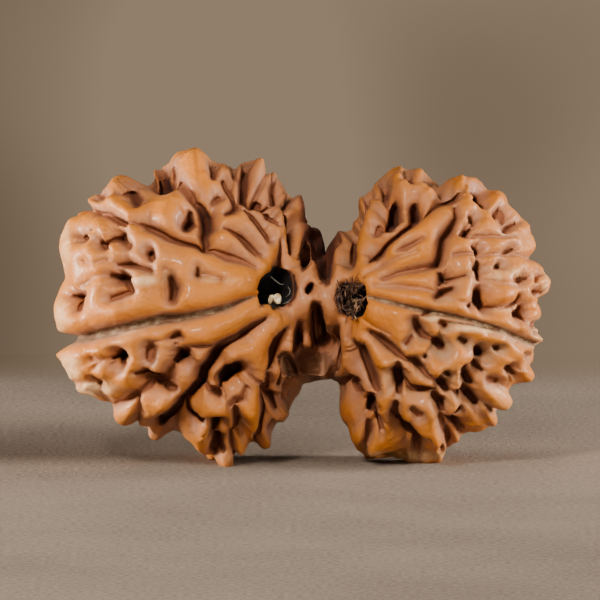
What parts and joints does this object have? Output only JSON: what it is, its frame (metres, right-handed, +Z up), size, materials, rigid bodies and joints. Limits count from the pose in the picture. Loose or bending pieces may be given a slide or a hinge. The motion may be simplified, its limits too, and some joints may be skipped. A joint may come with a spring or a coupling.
{
  "type": "rudraksha seed",
  "caption": "Naturally joined pair of ribbed and pitted rudraksha stones, grown together as one woody body with a stringing canal through each.",
  "frame": {"origin": "middle of the seed's box on the surface that it stands on", "axes": "+Z up, +X along the joined pair, from the larger stone to the smaller one, +Y away from the side that shows the front holes"},
  "size_m": [0.0396, 0.023, 0.0253],
  "materials": {
    "seed_shell": "orange-brown woody stone, waxy on the ridge tops, dark red-brown to black in the grooves and pits"
  },
  "bodies": {
    "root": {"joined_rudraksha_seed": "seed_shell"}
  },
  "joints": []
}
